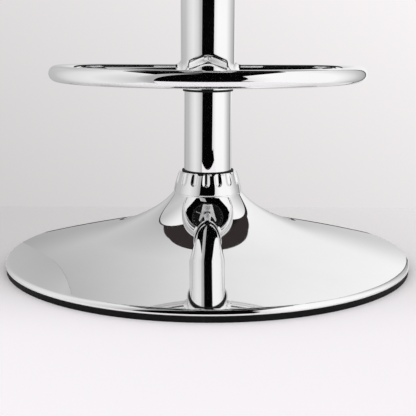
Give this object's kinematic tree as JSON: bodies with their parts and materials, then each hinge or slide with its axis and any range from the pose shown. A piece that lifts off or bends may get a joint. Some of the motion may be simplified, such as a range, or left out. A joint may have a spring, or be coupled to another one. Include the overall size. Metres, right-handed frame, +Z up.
{
  "type": "bar stool",
  "caption": "Height-adjustable swivel bar stool: chrome trumpet base, telescoping gas-lift column with a bent tube footrest, and a round padded seat with a height lever.",
  "frame": {"origin": "on the floor, on the column's axis, at the middle of the base ring", "axes": "+Z up along the column, -Y towards the footrest's front, -X towards the height lever"},
  "size_m": [0.42, 0.4305, 0.6902],
  "materials": {
    "chrome": "mirror polished",
    "black_rubber": "matte",
    "black_plastic": "satin",
    "white_plastic": "matte",
    "black_steel": "satin black paint",
    "bare_steel": "bright zinc",
    "aluminium": "turned",
    "plywood": "raw",
    "lining_cloth": "non-woven",
    "black_leatherette": "coated cloth with a soft leather grain, over foam"
  },
  "bodies": {
    "base": {"base_shell": "chrome", "base_edge_ring": "black_rubber", "base_brace": "black_steel", "column_socket": "black_steel", "column_collar": "chrome", "column_seal": "black_rubber", "lower_tube": "chrome", "tube_end_plate": "bare_steel", "guide_bush": "white_plastic", "lower_race": "bare_steel"},
    "ball_cage": {"bearing_cage": "white_plastic", "bearing_balls": "bare_steel"},
    "spindle": {"upper_race": "bare_steel", "rubber_bumper": "black_rubber", "piston_rod": "bare_steel", "piston": "aluminium", "clip_washer": "bare_steel", "retaining_clip": "bare_steel"},
    "upper": {"pressure_tube": "black_steel", "rod_guide": "aluminium", "upper_tube": "chrome", "upper_tube_bush": "black_plastic", "footrest_loop": "chrome", "footrest_welds": "chrome", "plate_socket": "black_steel", "mechanism_housing": "black_steel", "seat_plate": "bare_steel", "lever_pin": "bare_steel", "seat_screws": "bare_steel", "screw_washers": "bare_steel", "tee_nuts": "bare_steel", "seat_board": "plywood", "dust_cover": "lining_cloth", "seat_cushion": "black_leatherette", "seat_piping": "black_leatherette"},
    "lever": {"lever": "bare_steel", "lever_grip": "black_plastic"},
    "valve": {"valve_button": "bare_steel"}
  },
  "joints": [
    {"name": "swivel", "type": "hinge", "parent": "base", "child": "spindle", "pos_m": [0, 0, 0.03], "axis": [0, 0, 1], "continuous": true},
    {"name": "cage_roll", "type": "hinge", "parent": "base", "child": "ball_cage", "pos_m": [0, 0, 0.03], "axis": [0, 0, 1], "continuous": true},
    {"name": "height", "type": "slide", "parent": "spindle", "child": "upper", "axis": [0, 0, 1], "range_m": [-0.07, 0.14]},
    {"name": "lever_lift", "type": "hinge", "parent": "upper", "child": "lever", "pos_m": [-0.02, 0, 0.5897], "axis": [0, 1, 0], "range_deg": [0, 8], "stiffness_Nm_per_rad": 8, "springref_deg": -5.73},
    {"name": "valve_press", "type": "slide", "parent": "upper", "child": "valve", "axis": [0, 0, -1], "range_m": [0, 0.003]}
  ],
  "couplings": [
    {"joint": "cage_roll", "follows": "swivel", "ratio": 0.5},
    {"joint": "valve_press", "follows": "lever_lift", "m_per_rad": 0.02}
  ]
}
